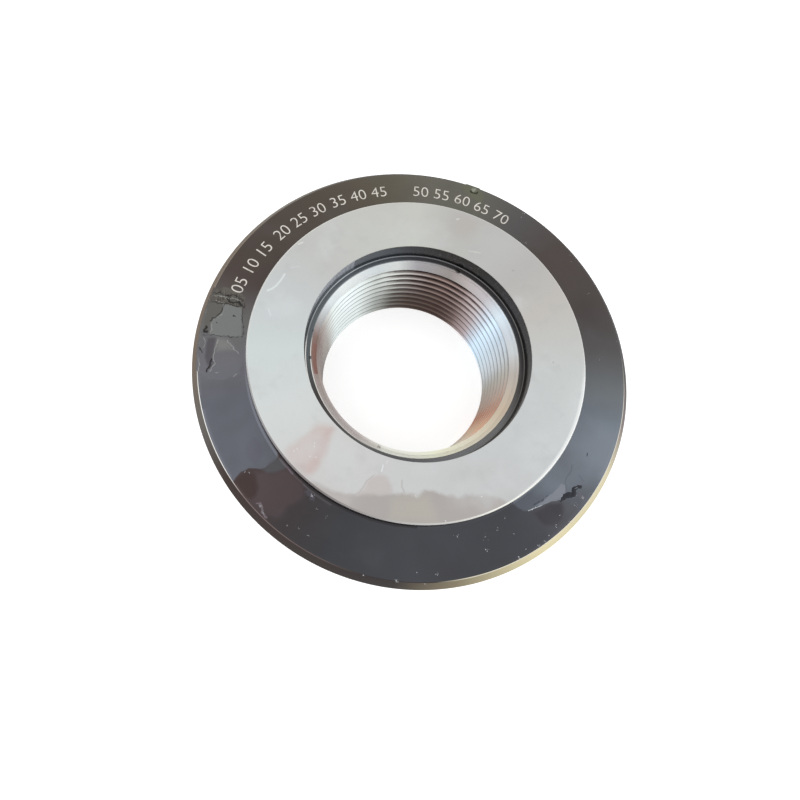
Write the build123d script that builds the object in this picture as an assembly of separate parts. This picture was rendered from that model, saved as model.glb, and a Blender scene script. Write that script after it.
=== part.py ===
from build123d import *
import os
from math import atan, degrees, radians, tan

# Master thread ring gauge, turned, threaded and ground from one piece of hardened tool steel.
# Millimetres. The origin is the centre of the flat underside and +Z runs up the thread axis,
# out of the counterbored boss that takes the larger end of the tapered thread.

# driving dimensions
outside_diameter = 101.6
overall_height = 25.4
rim_chamfer = 1.6  # 45 degree bevel around both faces of the disc

boss_diameter = 76.2
boss_height = 3.6
boss_edge_chamfer = 0.3
boss_foot_radius = 1.0  # fillet between the boss wall and the marking face

counterbore_diameter = 51.2
counterbore_depth = 4.1
lead_in_diameter = 48.6  # of the 45 degree chamfer in the counterbore floor
lower_mouth_chamfer = 0.4

threads_per_inch = 11.5
thread_flank_angle = 60  # between the two flanks of a groove
thread_taper = 1 / 16  # on diameter, narrowing towards the underside
thread_major_diameter = 48.1  # at the counterbore floor
thread_depth = 1.5
groove_root_width = 0.12  # flat at the bottom of each groove
thread_start_angle = 75  # turns the finished ring, and with it where the thread runs out

# worked out from the sizes above
marking_face_height = overall_height - boss_height
floor_height = overall_height - counterbore_depth
pitch = 25.4 / threads_per_inch
slope = thread_taper / 2  # change of radius for each millimetre of height
minor_radius_at_floor = thread_major_diameter / 2 - thread_depth
seat = (Align.CENTER, Align.CENTER, Align.MIN)


def minor_radius(height):
    """Radius of the thread crests, on the taper, at a height above the underside."""
    return minor_radius_at_floor - (floor_height - height) * slope


def edges_at(part, height, radius):
    """The circular edges of a turned part at one height and radius."""
    rings = part.edges().filter_by(GeomType.CIRCLE)
    return rings.filter_by(lambda e: abs(e.center().Z - height) < 0.01 and abs(e.radius - radius) < 0.01)


def turned_blank():
    """The disc with bevelled rims and its raised boss, filleted at the foot."""
    disc = Cylinder(outside_diameter / 2, marking_face_height, align=seat)
    disc = chamfer(disc.edges().filter_by(GeomType.CIRCLE), rim_chamfer)
    boss = Pos(0, 0, marking_face_height) * Cylinder(boss_diameter / 2, boss_height, align=seat)
    blank = disc + boss
    blank = fillet(edges_at(blank, marking_face_height, boss_diameter / 2), boss_foot_radius)
    return chamfer(edges_at(blank, overall_height, boss_diameter / 2), boss_edge_chamfer)


def tapered_bore():
    """What boring takes out: counterbore, lead-in chamfer, tapered bore at crest size, lower mouth."""
    lead_in_depth = (lead_in_diameter / 2 - minor_radius_at_floor) / (1 - slope)
    lead_in_end = floor_height - lead_in_depth
    section = Polyline(
        (0, 0),
        (minor_radius(0) + lower_mouth_chamfer, 0),
        (minor_radius(lower_mouth_chamfer), lower_mouth_chamfer),
        (minor_radius(lead_in_end), lead_in_end),
        (lead_in_diameter / 2, floor_height),
        (counterbore_diameter / 2, floor_height),
        (counterbore_diameter / 2, overall_height),
        (0, overall_height),
        close=True,
    )
    return revolve(Plane.XZ * make_face(section), Axis.Z)


def thread_groove():
    """The right-hand vee groove, swept up a tapered helix that starts and ends clear of the metal."""
    start = -1.5 * pitch
    end = floor_height + 0.5 * pitch
    inside_bore = 0.2  # how far the cutting form stands out of the wall, so that it cuts cleanly
    root_half = groove_root_width / 2
    mouth_half = root_half + (thread_depth + inside_bore) * tan(radians(thread_flank_angle / 2))
    inner = minor_radius(start) - inside_bore
    root = minor_radius(start) + thread_depth
    tooth = Polyline(
        (inner, 0, start - mouth_half),
        (root, 0, start - root_half),
        (root, 0, start + root_half),
        (inner, 0, start + mouth_half),
        close=True,
    )
    helix = Edge.make_helix(
        pitch, end - start, minor_radius(start), center=(0, 0, start), angle=degrees(atan(slope))
    )
    return sweep(make_face(tooth), path=helix, is_frenet=True)


bored_ring = turned_blank() - tapered_bore()
gauge_ring = Rot(0, 0, thread_start_angle) * (bored_ring - thread_groove())

os.makedirs("parts", exist_ok=True)
export_step(gauge_ring, "parts/gauge_ring.step")
print("valid solid:", gauge_ring.is_valid)
print("volume, and what the thread took out, mm3:")
print(round(gauge_ring.volume), round(bored_ring.volume - gauge_ring.volume))
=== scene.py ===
import bmesh
import bpy
import math
import random
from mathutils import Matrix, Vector, noise


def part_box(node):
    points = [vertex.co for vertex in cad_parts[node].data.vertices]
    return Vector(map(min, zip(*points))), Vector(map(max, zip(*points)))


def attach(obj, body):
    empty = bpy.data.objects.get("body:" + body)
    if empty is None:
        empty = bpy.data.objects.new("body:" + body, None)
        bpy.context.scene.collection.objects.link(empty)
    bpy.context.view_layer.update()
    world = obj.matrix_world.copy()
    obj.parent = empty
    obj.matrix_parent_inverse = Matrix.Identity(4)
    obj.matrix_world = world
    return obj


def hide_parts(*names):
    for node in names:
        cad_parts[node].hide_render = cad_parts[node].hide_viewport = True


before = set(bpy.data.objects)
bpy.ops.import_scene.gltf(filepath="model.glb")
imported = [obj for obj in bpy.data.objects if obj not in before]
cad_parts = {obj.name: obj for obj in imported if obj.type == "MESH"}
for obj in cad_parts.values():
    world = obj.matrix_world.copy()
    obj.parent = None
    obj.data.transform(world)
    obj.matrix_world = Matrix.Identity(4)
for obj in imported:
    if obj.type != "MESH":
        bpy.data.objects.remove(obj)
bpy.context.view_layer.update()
print("frame loaded")

mm = 0.001


def onlyPiece(piece):
    bpy.ops.object.select_all(action="DESELECT")
    piece.select_set(True)
    bpy.context.view_layer.objects.active = piece


def openPiece(piece):
    onlyPiece(piece)
    bpy.ops.object.mode_set(mode="EDIT")


def faceOutwards():
    bpy.ops.mesh.select_all(action="SELECT")
    bpy.ops.mesh.normals_make_consistent(inside=False)


def closePiece():
    bpy.ops.object.mode_set(mode="OBJECT")


def addPiece(operator, **settings):  # a new primitive, with nothing else selected
    bpy.ops.object.select_all(action="DESELECT")
    operator(**settings)
    return bpy.context.object


def joinPieces(made, name):
    onlyPiece(made[0])
    for piece in made:
        piece.select_set(True)
    bpy.ops.object.join()
    made[0].name = name
    return made[0]


def pick(kind, wanted):  # selects the faces, edges or corners of the open piece that are wanted
    bpy.ops.mesh.select_mode(type=kind)
    bpy.ops.mesh.select_all(action="DESELECT")
    shape = bmesh.from_edit_mesh(bpy.context.edit_object.data)
    for part in {"FACE": shape.faces, "EDGE": shape.edges, "VERT": shape.verts}[kind]:
        if wanted(part):
            part.select_set(True)
    shape.select_flush_mode()
    bmesh.update_edit_mesh(bpy.context.edit_object.data)


def pickRings(rings):  # the round edges at each (radius, height)
    near = 0.02 * mm
    pick("EDGE", lambda edge: any(
        all(abs(v.co.xy.length - radius) < near and abs(v.co.z - height) < near for v in edge.verts)
        for radius, height in rings
    ))


def roundRings(rings, size, segments):
    pickRings(rings)
    bpy.ops.mesh.bevel(offset_type="OFFSET", offset=size, segments=segments, profile=0.5, clamp_overlap=False)


def applyModifier(piece, kind, **settings):
    modifier = piece.modifiers.new(kind.title(), kind)
    for name, value in settings.items():
        setattr(modifier, name, value)
    onlyPiece(piece)
    bpy.ops.object.modifier_apply(modifier=modifier.name)


def applyPlace(piece):
    onlyPiece(piece)
    bpy.ops.object.transform_apply(location=True, rotation=True, scale=True)


def polar(degreesRound, radius, height=0.0):
    turn = math.radians(degreesRound)
    return Vector((radius * math.cos(turn), radius * math.sin(turn), height))


low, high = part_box("gauge_ring")
ring = {
    "division": 240,  # flats round one turn
    "outerRadius": min(high.x, high.y, -low.x, -low.y),
    "topHeight": high.z,
    "rimBevel": 1.6 * mm,
    "bossRadius": 38.1 * mm,
    "bossHeight": 3.6 * mm,
    "bossEdge": 0.3 * mm,
    "bossFoot": 1.0 * mm,
    "counterboreRadius": 25.6 * mm,
    "counterboreDepth": 4.1 * mm,
    "counterboreCorner": 0.25 * mm,
    "leadInRadius": 24.3 * mm,
    "lowerMouth": 0.4 * mm,
    "edgeSoftness": 0.1 * mm,  # the small round that a stone leaves on a turned corner
    "passWidth": 1.0 * mm,  # from ring to ring on the flat faces
    "smoothUnder": 25,  # degrees between facets
}
markingHeight = ring["topHeight"] - ring["bossHeight"]
floorHeight = ring["topHeight"] - ring["counterboreDepth"]
bevelRadius = ring["outerRadius"] - ring["rimBevel"]

thread = {
    "pitch": 25.4 * mm / 11.5,
    "slope": 1 / 32,  # change of radius with height
    "crestAtFloor": 22.55 * mm,
    "depth": 1.5 * mm,
    "rootWidth": 0.12 * mm,
    "insideBore": 0.2 * mm,  # how far the tap stands out of the wall
    "flankAngle": 60,
    "startAngle": 75,  # where a groove lies one and a half pitches below the underside
    "turns": 12,
}


def crestRadius(height):
    return thread["crestAtFloor"] - (floorHeight - height) * thread["slope"]


leadInDepth = (ring["leadInRadius"] - thread["crestAtFloor"]) / (1 - thread["slope"])
leadInEnd = floorHeight - leadInDepth


def turnProfile(radius, height, stations):  # draws the picked face through each (radius, height)
    for nextRadius, nextHeight in stations:
        ratio = nextRadius / radius
        bpy.ops.mesh.extrude_region_move(TRANSFORM_OT_translate={"value": (0, 0, nextHeight - height)})
        bpy.ops.transform.resize(value=(ratio, ratio, 1), center_override=(0, 0, nextHeight))
        radius, height = nextRadius, nextHeight
    bpy.ops.mesh.delete(type="ONLY_FACE")


def facing(start, end, height):  # passes across a flat face, between two radii
    count = int((start - end) / ring["passWidth"]) - 1
    return [(start - ring["passWidth"] * (place + 1), height) for place in range(count)]


def turnedRing():
    outer, top, bevel = ring["outerRadius"], ring["topHeight"], ring["rimBevel"]
    boss, counterbore, edge = ring["bossRadius"], ring["counterboreRadius"], ring["bossEdge"]
    mouth = (crestRadius(0) + ring["lowerMouth"], 0)
    boreEnd = (crestRadius(ring["lowerMouth"]), ring["lowerMouth"])
    piece = addPiece(
        bpy.ops.mesh.primitive_cylinder_add,
        vertices=ring["division"], radius=outer, depth=markingHeight, location=(0, 0, markingHeight / 2),
    )
    piece.name = "gaugeRing"
    applyPlace(piece)
    openPiece(piece)
    pick("FACE", lambda face: face.normal.z > 0.9)
    turnProfile(outer, markingHeight, [
        *facing(bevelRadius, boss, markingHeight), (boss, markingHeight),
        (boss, top), *facing(boss, counterbore, top), (counterbore, top),
        (counterbore, floorHeight), (ring["leadInRadius"], floorHeight),
        (crestRadius(leadInEnd), leadInEnd), boreEnd,
    ])
    pick("FACE", lambda face: face.normal.z < -0.9 and face.calc_center_median().z < 0.01 * mm)
    turnProfile(outer, 0, [mouth])
    pickRings([mouth, boreEnd])
    bpy.ops.mesh.bridge_edge_loops()
    roundRings([(outer, markingHeight), (outer, 0)], bevel, 1)
    roundRings([(boss, markingHeight)], ring["bossFoot"], 6)
    roundRings([(boss, top)], edge, 1)
    roundRings([(counterbore, floorHeight)], ring["counterboreCorner"], 4)
    roundRings([
        (bevelRadius, markingHeight), (outer, markingHeight - bevel), (bevelRadius, 0), (outer, bevel),
        (boss - edge, top), (boss, top - edge), (counterbore, top), (ring["leadInRadius"], floorHeight),
    ], ring["edgeSoftness"], 2)
    faceOutwards()
    closePiece()
    return piece


def threadTap():  # the vee groove as a solid, screwed up the axis and drawn out to the taper
    end = -1.5 * thread["pitch"] - thread["pitch"] * thread["startAngle"] / 360
    reach = thread["depth"] + thread["insideBore"]
    rootHalf = thread["rootWidth"] / 2
    mouthHalf = rootHalf + reach * math.tan(math.radians(thread["flankAngle"] / 2))
    root = crestRadius(0) + thread["depth"]
    tap = addPiece(
        bpy.ops.mesh.primitive_plane_add,
        size=1, location=(root - reach / 2, 0, end), rotation=(math.pi / 2, 0, 0),
    )
    tap.name = "threadTap"
    tap.scale = (reach, 2 * mouthHalf, 1)
    applyPlace(tap)
    openPiece(tap)
    pick("VERT", lambda corner: abs(corner.co.x - root) < 0.01 * mm)
    bpy.ops.transform.resize(value=(1, 1, rootHalf / mouthHalf), center_override=(root, 0, end))
    bpy.ops.mesh.select_all(action="SELECT")
    bpy.ops.mesh.delete(type="ONLY_FACE")
    closePiece()
    applyModifier(
        tap, "SCREW", axis="Z", angle=2 * math.pi, screw_offset=thread["pitch"], iterations=thread["turns"],
        steps=ring["division"], render_steps=ring["division"], use_normal_calculate=True,
        use_smooth_shade=False,
    )
    heights = [v.co.z for v in tap.data.vertices]
    stretch = thread["slope"] * (max(heights) - min(heights)) / root
    applyModifier(tap, "SIMPLE_DEFORM", deform_method="TAPER", deform_axis="Z", factor=stretch)
    openPiece(tap)
    bpy.ops.mesh.select_all(action="SELECT")
    bpy.ops.mesh.fill_holes(sides=4)
    faceOutwards()
    closePiece()
    return tap


gaugeRing = turnedRing()
print("ring turned", len(gaugeRing.data.polygons))
tap = threadTap()
applyModifier(gaugeRing, "BOOLEAN", operation="DIFFERENCE", solver="EXACT", object=tap)
bpy.data.objects.remove(tap)
print("thread cut", len(gaugeRing.data.polygons))


def toneOf(red, green, blue):  # a screen colour, 0 to 255, as the shader's linear one
    parts = [c / 255 for c in (red, green, blue)]
    return [c / 12.92 if c <= 0.04045 else ((c + 0.055) / 1.055) ** 2.4 for c in parts] + [1]


def feed(tree, socket, given):  # given is a value, another socket, or nothing
    if isinstance(given, bpy.types.NodeSocket):
        tree.links.new(given, socket)
    elif given is not None:
        socket.default_value = given


def addNode(tree, kind, given=None, **settings):  # given holds what goes into each input
    node = tree.nodes.new("ShaderNode" + kind)
    for name, value in settings.items():
        setattr(node, name, value)
    for label, value in (given or {}).items():
        feed(tree, node.inputs[label], value)
    return node


def addMath(tree, operation, *given):
    return addNode(tree, "Math", dict(enumerate(given)), operation=operation).outputs[0]


def addVector(tree, operation, first, second=None):
    factor = "Scale" if operation == "SCALE" else 1
    node = addNode(tree, "VectorMath", {0: first, factor: second}, operation=operation)
    return node.outputs["Value" if operation in ("LENGTH", "DOT_PRODUCT") else "Vector"]


def addRange(tree, value, low, high):  # eased from 0 at low to 1 at high
    given = {"Value": value, "From Min": low, "From Max": high}
    return addNode(tree, "MapRange", given, interpolation_type="SMOOTHSTEP").outputs[0]


def addBlend(tree, mask, base, tone):
    return addNode(tree, "Mix", {0: mask, 6: base, 7: tone}, data_type="RGBA").outputs[2]


def addNoise(tree, place, scale, detail=2.0):
    return addNode(tree, "TexNoise", {"Vector": place, "Scale": scale, "Detail": detail}).outputs


def addWander(tree, place, scale, detail, far):  # how noise moves a place, by up to half of far in mm
    centred = addVector(tree, "SUBTRACT", addNoise(tree, place, scale, detail)["Color"], (0.5, 0.5, 0.5))
    return addVector(tree, "SCALE", centred, addMath(tree, "MULTIPLY", far, mm))


def newGroup(name, vectors, numbers, results):  # numbers are the plain inputs with their values
    group = bpy.data.node_groups.new(name, "ShaderNodeTree")
    for label in vectors:
        group.interface.new_socket(label, in_out="INPUT", socket_type="NodeSocketVector")
    for label, value in numbers.items():
        socket = group.interface.new_socket(label, in_out="INPUT", socket_type="NodeSocketFloat")
        socket.default_value = value
    for label in results:
        group.interface.new_socket(label, in_out="OUTPUT", socket_type="NodeSocketFloat")
    return group, group.nodes.new("NodeGroupInput").outputs, group.nodes.new("NodeGroupOutput").inputs


def useGroup(tree, group, place, **values):
    given = {name.title(): value for name, value in values.items()}
    return addNode(tree, "Group", {"Place": place} | given, node_tree=group).outputs


def makeAroundRing():  # where a point lies round the ring, with a wavering edge
    group, given, made = newGroup("aroundRing", ["Place"], {"Waver": 0.0, "Size": 200.0}, ["Turn", "Radius"])
    wander = addWander(group, given["Place"], given["Size"], 4, given["Waver"])
    parts = addNode(group, "SeparateXYZ", {0: addVector(group, "ADD", given["Place"], wander)}).outputs
    angle = addMath(group, "ARCTAN2", parts["Y"], parts["X"])
    feed(group, made["Turn"], addMath(group, "MULTIPLY_ADD", angle, 0.5 / math.pi, 0.5))
    across = addMath(group, "MULTIPLY", parts["X"], parts["X"])
    along = addMath(group, "MULTIPLY", parts["Y"], parts["Y"])
    radius = addMath(group, "SQRT", addMath(group, "ADD", across, along))
    feed(group, made["Radius"], addMath(group, "DIVIDE", radius, mm))
    return group


aroundRing = makeAroundRing()


def makeReflectionPatch():  # a ragged patch of painted reflection, between two radii in mm, round an angle in degrees
    group, given, made = newGroup("reflectionPatch", ["Place"], {
        "Angle": 0.0, "Spread": 5.0, "Inner": 40.0, "Outer": 49.0, "Soft": 1.0, "Ragged": 1.0, "Size": 200.0,
    }, ["Mask"])

    def eased(value, border, soft, low, high):  # across a border, from its low to its high side
        return addRange(group, value, addMath(group, low, border, soft), addMath(group, high, border, soft))

    back = addMath(group, "MULTIPLY", given["Angle"], -math.pi / 180)
    turned = addNode(group, "VectorRotate", {"Vector": given["Place"], "Angle": back}, rotation_type="Z_AXIS")
    around = useGroup(group, aroundRing, turned.outputs[0], waver=given["Ragged"], size=given["Size"])
    angle = addMath(group, "MULTIPLY", addMath(group, "SUBTRACT", around["Turn"], 0.5), 360)
    softAngle = addMath(group, "MULTIPLY", given["Soft"], 1.4)  # degrees to a mm of arc on the marking face
    along = eased(addMath(group, "ABSOLUTE", angle), given["Spread"], softAngle, "ADD", "SUBTRACT")
    inside = eased(around["Radius"], given["Inner"], given["Soft"], "SUBTRACT", "ADD")
    outside = eased(around["Radius"], given["Outer"], given["Soft"], "ADD", "SUBTRACT")
    feed(group, made["Mask"], addMath(group, "MULTIPLY", along, addMath(group, "MULTIPLY", inside, outside)))
    return group


grainSizes = {
    "linesAcross": 9,  # to a mm
    "linesRound": 6,  # breaks in a line, to a turn
    "grit": 2500,
    "mottle": 90,
}


def makeSteelGrain():  # tool lines round the axis, fine grit and soft mottling
    names = ["Lines", "Grit", "Mottle"]
    numbers = dict.fromkeys(names, 1.0)
    group, given, made = newGroup("steelGrain", ["Place"], numbers, ["Shade", "Rough", "Height"])
    around = useGroup(group, aroundRing, given["Place"])
    height = addNode(group, "SeparateXYZ", {0: given["Place"]}).outputs["Z"]
    track = addNode(group, "CombineXYZ", {
        "X": addMath(group, "MULTIPLY", around["Radius"], grainSizes["linesAcross"]),
        "Y": addMath(group, "MULTIPLY", height, grainSizes["linesAcross"] / mm),
        "Z": addMath(group, "MULTIPLY", around["Turn"], grainSizes["linesRound"]),
    }).outputs[0]
    waves = [
        addNoise(group, track, 1, 3),
        addNoise(group, given["Place"], grainSizes["grit"]),
        addNoise(group, given["Place"], grainSizes["mottle"], 5),
    ]
    lines, grit, mottle = [
        addMath(group, "MULTIPLY", addMath(group, "SUBTRACT", wave["Fac"], 0.5), given[name])
        for wave, name in zip(waves, names)
    ]
    total = addMath(group, "ADD", lines, addMath(group, "ADD", grit, mottle))
    feed(group, made["Shade"], addMath(group, "ADD", total, 1))
    feed(group, made["Rough"], total)
    feed(group, made["Height"], addMath(group, "ADD", lines, grit))
    return group


def makeStroke():  # a scratch or a thin crack from one point to the next
    numbers = {"Width": 0.1, "Soft": 0.1, "Ragged": 0.2, "Size": 600.0}
    group, given, made = newGroup("stroke", ["Place", "First", "Last"], numbers, ["Mask"])
    wander = addWander(group, given["Place"], given["Size"], 2, given["Ragged"])
    spot = addVector(group, "ADD", addVector(group, "SUBTRACT", given["Place"], given["First"]), wander)
    whole = addVector(group, "SUBTRACT", given["Last"], given["First"])
    dots = [addVector(group, "DOT_PRODUCT", vector, whole) for vector in (spot, whole)]
    share = addMath(group, "DIVIDE", *dots)
    share.node.use_clamp = True
    off = addVector(group, "SUBTRACT", spot, addVector(group, "SCALE", whole, share))
    away = addVector(group, "LENGTH", addVector(group, "MULTIPLY", off, (1, 1, 0)))
    half = addMath(group, "MULTIPLY", given["Width"], 0.5)
    edge = addMath(group, "ADD", half, given["Soft"])
    feed(group, made["Mask"], addRange(group, addMath(group, "DIVIDE", away, mm), edge, half))
    return group


reflectionPatch = makeReflectionPatch()
steelGrain = makeSteelGrain()
stroke = makeStroke()


def newMaterial(name):
    material = bpy.data.materials.new(name)
    material.use_nodes = True
    return material, material.node_tree, material.node_tree.nodes["Principled BSDF"].inputs


def objectPlace(tree):
    return addNode(tree, "TexCoord").outputs["Object"]


def addTones(tree, turn, tonesAndReflections):  # a colour for each stretch round the ring, from degrees to a screen colour; on the steel most of them are painted reflections
    ramp = addNode(tree, "ValToRGB", {0: turn})
    stops = sorted((tonesAndReflections | {180: tonesAndReflections[-180]}).items())
    while len(ramp.color_ramp.elements) < len(stops):
        ramp.color_ramp.elements.new(0)
    for stop, (angle, tone) in zip(ramp.color_ramp.elements, stops):
        stop.position = (angle + 180) / 360
        stop.color = toneOf(*tone)
    return ramp.outputs["Color"]


def grooveDepth(tree, place, radius):  # mm below the crests of the tapered thread
    height = addNode(tree, "SeparateXYZ", {0: place}).outputs["Z"]
    crest = addMath(tree, "MULTIPLY_ADD", height, thread["slope"] / mm, crestRadius(0) / mm)
    return addMath(tree, "SUBTRACT", radius, crest)


def patchMask(tree, place, patch):  # where a patch lies
    if "outline" in patch:  # charted on the piece as mm inside the outline
        inside = addNode(tree, "Attribute", attribute_name=patch["name"]).outputs["Fac"]
        wave = addMath(tree, "SUBTRACT", addNoise(tree, place, patch["size"], 4)["Fac"], 0.5)
        ragged = addMath(tree, "MULTIPLY_ADD", wave, 2 * patch["ragged"], inside)
        return addRange(tree, ragged, -patch["soft"], patch["soft"])
    if "between" in patch:
        wave = addNoise(tree, place, patch["scale"], patch["detail"])["Fac"]
        return addRange(tree, wave, *patch["between"])
    if "points" in patch:
        mask = 0.0
        points = [polar(angle, radius * mm) for angle, radius in patch["points"]]
        for first, last in zip(points, points[1:]):
            mark = useGroup(tree, stroke, place, first=first, last=last, **patch["edge"])
            mask = addMath(tree, "MAXIMUM", mask, mark["Mask"])
        return mask
    mask = useGroup(tree, reflectionPatch, place, **patch["window"])["Mask"]
    if "groove" in patch:  # only in the grooves, between two depths in mm
        depth = grooveDepth(tree, place, useGroup(tree, aroundRing, place)["Radius"])
        mask = addMath(tree, "MULTIPLY", mask, addRange(tree, depth, *patch["groove"]))
    return mask


def addPatches(tree, place, colour, patches):  # films, smudges and scratches, one over the other
    for patch in patches:
        mask = addMath(tree, "MULTIPLY", patchMask(tree, place, patch), patch["strength"])
        colour = addBlend(tree, mask, colour, toneOf(*patch["tone"]))
    return colour


def finishShader(tree, shader, look, place, colour):  # grain, gloss and oil over a colour
    grain = useGroup(tree, steelGrain, place, lines=look["lines"], grit=look["grit"], mottle=look["mottle"])
    bump = {"Strength": look["bump"], "Distance": look["bumpDepth"], "Height": grain["Height"]}
    feed(tree, shader["Base Color"], addVector(tree, "SCALE", colour, grain["Shade"]))
    rough = addMath(tree, "MULTIPLY_ADD", grain["Rough"], look["roughGrain"], look["rough"])
    feed(tree, shader["Roughness"], rough)
    feed(tree, shader["Normal"], addNode(tree, "Bump", bump).outputs[0])
    feed(tree, shader["Metallic"], look["metal"])
    feed(tree, shader["Coat Weight"], look["oil"])
    feed(tree, shader["Coat Roughness"], look["oilRough"])
    feed(tree, shader["Specular Tint"], toneOf(*look["grazing"]))


def makeFinish(name, look):  # one finish of the ring: tones and painted reflections round it, patches on it, grain and gloss
    material, tree, shader = newMaterial(name)
    place = objectPlace(tree)
    around = useGroup(tree, aroundRing, place, waver=look["waver"], size=look["waverSize"])
    colour = addTones(tree, around["Turn"], look["tonesAndReflections"])
    # painted shade and grime deeper in the grooves, with painted reflections round the ring
    if "deepShadeAndGrimeTones" in look:
        deepShadeAndGrime = addTones(tree, around["Turn"], look["deepShadeAndGrimeTones"])
        depth = addRange(tree, grooveDepth(tree, place, around["Radius"]), *look["deepFrom"])
        colour = addBlend(tree, depth, colour, deepShadeAndGrime)
    # painted shade lower down the bore, with painted reflections round the ring
    if "lowShadeTones" in look:
        low = addTones(tree, around["Turn"], look["lowShadeTones"])
        height = addNode(tree, "SeparateXYZ", {0: place}).outputs["Z"]
        colour = addBlend(tree, addRange(tree, height, *[h * mm for h in look["lowFrom"]]), colour, low)
    finishShader(tree, shader, look, place, addPatches(tree, place, colour, look["patches"]))
    return material


# Patches on the steel are drawn in (degrees round the ring, radius in mm). An edge is soft over so many
# mm and ragged by so many, and size is the scale of the noise that makes it ragged.
def film(name, tone, outline, soft=0.5, ragged=0.5, size=300, strength=0.9):
    return dict(name=name, tone=tone, outline=outline, soft=soft, ragged=ragged, size=size, strength=strength)


def scratch(tone, points, width, soft=0.2, ragged=0.3, size=900, strength=0.9):
    edge = dict(width=width, soft=soft, ragged=ragged, size=size)
    return dict(tone=tone, points=points, edge=edge, strength=strength)


def cloud(tone, scale, between, strength, detail=3):
    return dict(tone=tone, scale=scale, between=between, strength=strength, detail=detail)


bossSmudges = [
    film("pinkFilm", (202, 186, 181), [(215.5, 29.7), (216.6, 30.8), (216.4, 33.8), (216.9, 36.3),
        (218.6, 37.5), (221.5, 38), (225.6, 37.8), (228.1, 36.9), (228, 35.6), (227.3, 34), (226.6, 32.4),
        (226.1, 30.7), (225.2, 29.4), (223, 27.2), (220.6, 26.5), (217.8, 27.4)], soft=1.2, ragged=1.2,
        strength=0.8),
    film("pinkHeart", (196, 175, 170), [(221.4, 26.8), (225.2, 29.4), (226.6, 32.4), (228.2, 35.8),
        (226.7, 37), (223.7, 32.5), (220.9, 28.8)], soft=0.9, ragged=1, strength=0.55),
    film("hazeFilm", (183, 177, 172), [(72, 33.4), (69.7, 36.6), (65.6, 37.4), (61.1, 37.2), (60.5, 34.2),
        (63.6, 30.7), (69.7, 30.4)], soft=1.9, ragged=1.6, size=150, strength=0.55),
    film("greyFilm", (175, 170, 167), [(228.5, 37.9), (233.7, 37.1), (236.9, 36.6), (239.9, 36),
        (242.9, 35.3), (244.1, 34.6), (247.1, 33.8), (252.1, 33), (257.2, 32.5), (262.9, 32.2), (264, 32.6),
        (265.5, 31.8), (267.1, 31.4), (270.3, 31.3), (272.5, 31.9), (274.7, 32.6), (277.6, 33),
        (279.7, 33.5), (280.7, 33), (285, 33.8), (291, 35.3), (292.9, 36.3), (294.5, 38.2), (285, 40),
        (270, 40), (255, 40), (240, 40), (230, 39)], soft=0.6, ragged=0.7, size=500, strength=1),
    film("paleGrey", (190, 185, 183), [(228.5, 37.5), (236, 36.9), (242, 35.8), (243, 37.2), (238, 39),
        (229, 39)], soft=0.9, ragged=0.6, size=200, strength=0.8),
    film("sandFilm", (184, 180, 170), [(255.5, 33.6), (268.5, 32.2), (270.5, 37.6), (256, 37.8)], soft=1.4,
        ragged=1, size=150, strength=0.7),
    film("greyHill", (194, 186, 184), [(243.8, 35), (244.7, 33.4), (245, 31.9), (246.7, 30.2),
        (248.4, 29.6), (250.9, 29.5), (253.8, 30.3), (254.9, 32.2), (252.1, 33.2), (247.1, 34.1)], soft=0.7,
        ragged=0.8, size=400, strength=0.8),
    scratch((176, 172, 171), [(242.9, 35.3), (244.1, 34.6), (244.7, 33.4), (245, 31.9), (246.7, 30.2)],
        width=0.06, soft=0.12, size=500, strength=0.6),
    scratch((184, 180, 179), [(258.1, 29.6), (258.4, 31), (259.5, 31.9)], width=0.1, size=500,
        strength=0.7),
    scratch((228, 229, 231), [(249.1, 27.6), (249.3, 28.8)], width=0.18, soft=0.14, ragged=0.25),
    scratch((220, 221, 223), [(250.4, 26.3), (250.3, 27)], width=0.08, soft=0.14, ragged=0.25,
        strength=0.7),
    scratch((224, 231, 231), [(148.2, 34.9), (151, 34.9), (153.8, 35.2), (155.6, 35.7), (156.9, 36.4)],
        width=0.22, soft=0.22, size=500, strength=0.75),
    scratch((222, 221, 217), [(135.2, 37.2), (133.8, 36.9)], width=0.25, size=700),
    scratch((208, 213, 218), [(144.6, 34.6), (142.3, 33.3)], width=0.08, size=500, strength=0.6),
    scratch((216, 224, 224), [(163.6, 34.7), (166.1, 33.8)], width=0.12, soft=0.25, size=500, strength=0.6),
    scratch((212, 212, 208), [(60, 28), (57.4, 28.4), (54.9, 29)], width=0.12, ragged=0.5, strength=0.55),
    scratch((220, 221, 219), [(70.2, 35.1), (69.3, 35.5)], width=0.16, soft=0.14),
    scratch((168, 168, 170), [(38.3, 30.6), (37.9, 30.7)], width=0.2, strength=0.7),
    scratch((178, 179, 178), [(351.9, 30.4), (351.4, 30.5)], width=0.2, strength=0.7),
    cloud((184, 178, 175), 38, (0.48, 0.7), strength=0.3),
    cloud((218, 223, 226), 75, (0.5, 0.7), strength=0.3),
    cloud((176, 176, 178), 260, (0.54, 0.74), strength=0.16),
] + [
    scratch((232, 233, 235), [(angle, radius), (angle + 0.2, radius + 0.1)], 0.04, soft=0.1, ragged=0.1)
    for angle, radius in (  # pale specks
        (220.9, 31.4), (221.7, 31.9), (223.3, 33.9), (218.3, 35.6), (218.4, 34.8), (225, 33.2),
        (286.9, 34.4), (263.6, 32.4), (273.1, 37.4),
    )
]
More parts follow.
